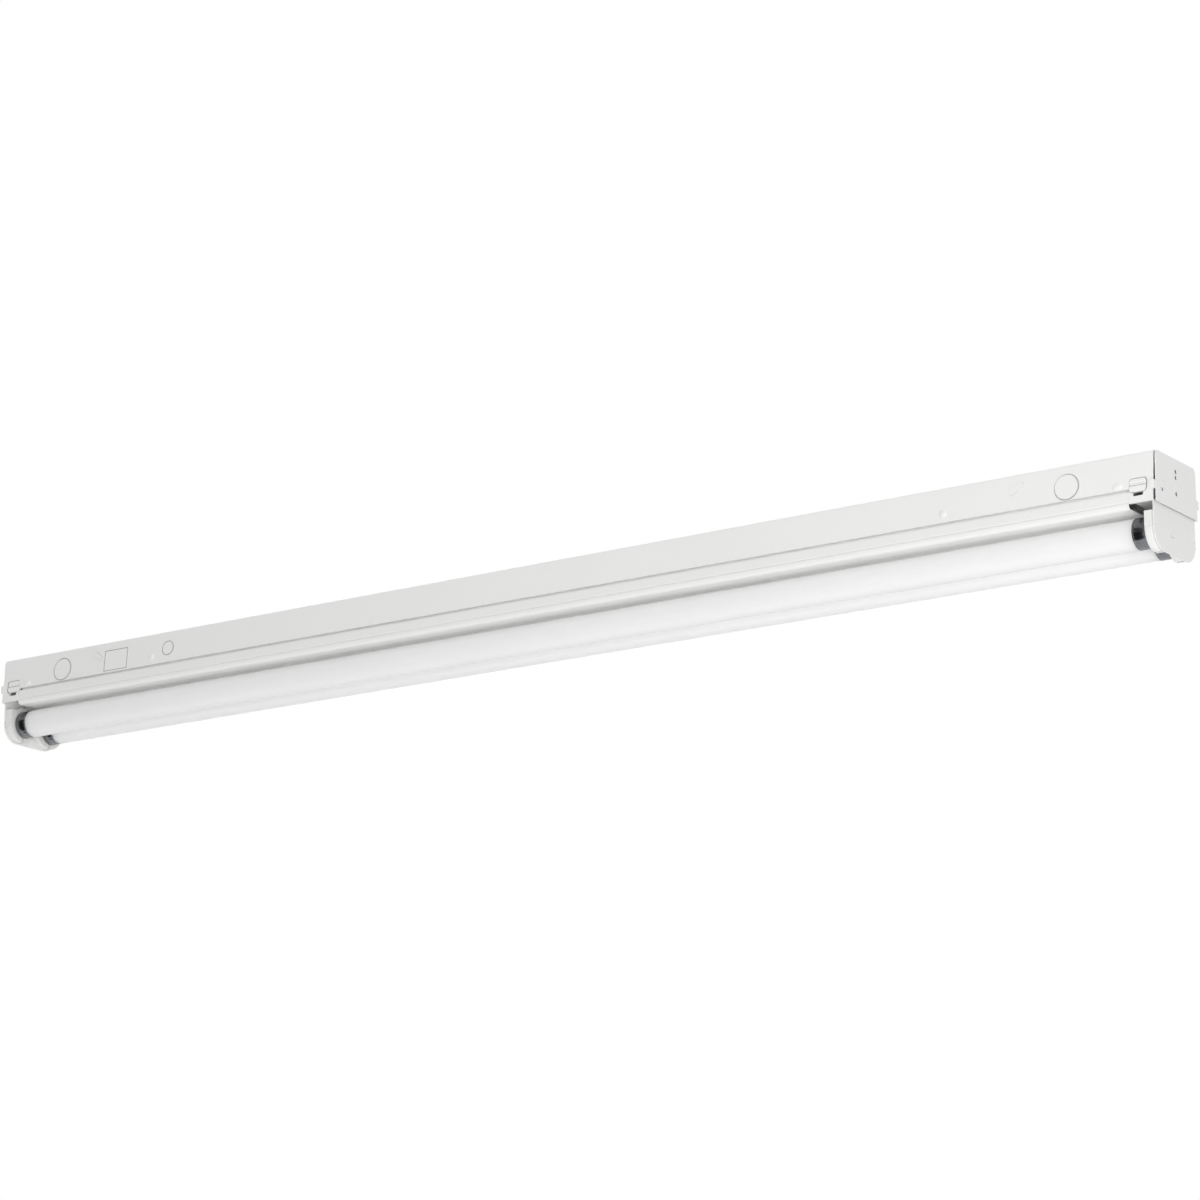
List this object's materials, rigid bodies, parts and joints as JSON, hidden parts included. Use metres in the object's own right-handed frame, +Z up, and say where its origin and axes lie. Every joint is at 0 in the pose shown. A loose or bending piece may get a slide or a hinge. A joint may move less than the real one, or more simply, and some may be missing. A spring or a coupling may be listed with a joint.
{
  "type": "shop light",
  "caption": "Narrow white strip light with a folded steel channel, snap cover, end brackets, turn-in lampholders and bare fluorescent tubes.",
  "frame": {"origin": "centre of the channel's flat back, which lies against the ceiling", "axes": "+X along the length towards the end seen nearest in the picture, +Y across it away from the viewer, +Z up"},
  "size_m": [1.2256, 0.0774, 0.0792],
  "materials": {
    "white_enamel": "gloss baked enamel",
    "holder_plastic": "moulded white",
    "rotor_plastic": "moulded white",
    "contact_brass": "plain strip",
    "lamp_glass": "white phosphor coated",
    "lamp_base": "bright drawn",
    "pin_brass": "plain turned",
    "insulator_board": "pressed fibre",
    "electrode_glass": "pressed glass stem",
    "ballast_steel": "satin white",
    "zinc_steel": "zinc plated",
    "bush_rubber": "black",
    "green_screw": "green plated",
    "wire_grey": "insulation",
    "wire_black": "insulation",
    "wire_white": "insulation",
    "wire_green": "insulation",
    "connector_orange": "moulded"
  },
  "bodies": {
    "fixture": {"end_plate_left": "white_enamel", "socket_plate_left": "white_enamel", "lampholder_front_left": "holder_plastic", "contacts_front_left": "contact_brass", "lead_front_left": "wire_grey", "lampholder_rear_left": "holder_plastic", "contacts_rear_left": "contact_brass", "lead_rear_left": "wire_grey", "end_plate_right": "white_enamel", "socket_plate_right": "white_enamel", "lampholder_front_right": "holder_plastic", "contacts_front_right": "contact_brass", "lead_front_right": "wire_grey", "lampholder_rear_right": "holder_plastic", "contacts_rear_right": "contact_brass", "lead_rear_right": "wire_grey", "channel_housing": "white_enamel", "wireway_cover": "white_enamel", "ballast_case": "ballast_steel", "ballast_plate": "zinc_steel", "ballast_bushes": "bush_rubber", "ballast_screws": "zinc_steel", "supply_lead_black": "wire_black", "supply_lead_white": "wire_white", "wire_connectors": "connector_orange", "ground_screw": "green_screw", "ground_lead": "wire_green"},
    "lamp_front": {"lamp_front_tube": "lamp_glass", "lamp_front_cap_left": "lamp_base", "lamp_front_cap_right": "lamp_base", "lamp_front_insulators": "insulator_board", "lamp_front_pins": "pin_brass", "lamp_front_electrodes": "electrode_glass"},
    "rotor_front_left_body": {"rotor_front_left": "rotor_plastic"},
    "rotor_front_right_body": {"rotor_front_right": "rotor_plastic"},
    "lamp_rear": {"lamp_rear_tube": "lamp_glass", "lamp_rear_cap_left": "lamp_base", "lamp_rear_cap_right": "lamp_base", "lamp_rear_insulators": "insulator_board", "lamp_rear_pins": "pin_brass", "lamp_rear_electrodes": "electrode_glass"},
    "rotor_rear_left_body": {"rotor_rear_left": "rotor_plastic"},
    "rotor_rear_right_body": {"rotor_rear_right": "rotor_plastic"},
    "latch_left": {"cover_latch_left": "white_enamel"},
    "latch_right": {"cover_latch_right": "white_enamel"}
  },
  "joints": [
    {"name": "lamp_front_turn", "type": "hinge", "parent": "fixture", "child": "lamp_front", "pos_m": [0, -0.01815, -0.0617], "axis": [1, 0, 0], "range_deg": [0, 90]},
    {"name": "rotor_front_left_turn", "type": "hinge", "parent": "fixture", "child": "rotor_front_left_body", "pos_m": [-0.6025, -0.01815, -0.0617], "axis": [1, 0, 0], "range_deg": [0, 90]},
    {"name": "rotor_front_right_turn", "type": "hinge", "parent": "fixture", "child": "rotor_front_right_body", "pos_m": [0.6025, -0.01815, -0.0617], "axis": [1, 0, 0], "range_deg": [0, 90]},
    {"name": "lamp_rear_turn", "type": "hinge", "parent": "fixture", "child": "lamp_rear", "pos_m": [0, 0.01815, -0.0617], "axis": [1, 0, 0], "range_deg": [0, 90]},
    {"name": "rotor_rear_left_turn", "type": "hinge", "parent": "fixture", "child": "rotor_rear_left_body", "pos_m": [-0.6025, 0.01815, -0.0617], "axis": [1, 0, 0], "range_deg": [0, 90]},
    {"name": "rotor_rear_right_turn", "type": "hinge", "parent": "fixture", "child": "rotor_rear_right_body", "pos_m": [0.6025, 0.01815, -0.0617], "axis": [1, 0, 0], "range_deg": [0, 90]},
    {"name": "latch_left_turn", "type": "hinge", "parent": "fixture", "child": "latch_left", "pos_m": [-0.42, 0, -0.0462], "axis": [0, 0, 1], "range_deg": [0, 90]},
    {"name": "latch_right_turn", "type": "hinge", "parent": "fixture", "child": "latch_right", "pos_m": [0.42, 0, -0.0462], "axis": [0, 0, 1], "range_deg": [0, 90]}
  ],
  "couplings": [
    {"joint": "rotor_front_left_turn", "follows": "lamp_front_turn", "ratio": 1},
    {"joint": "rotor_front_right_turn", "follows": "lamp_front_turn", "ratio": 1},
    {"joint": "rotor_rear_left_turn", "follows": "lamp_rear_turn", "ratio": 1},
    {"joint": "rotor_rear_right_turn", "follows": "lamp_rear_turn", "ratio": 1}
  ]
}
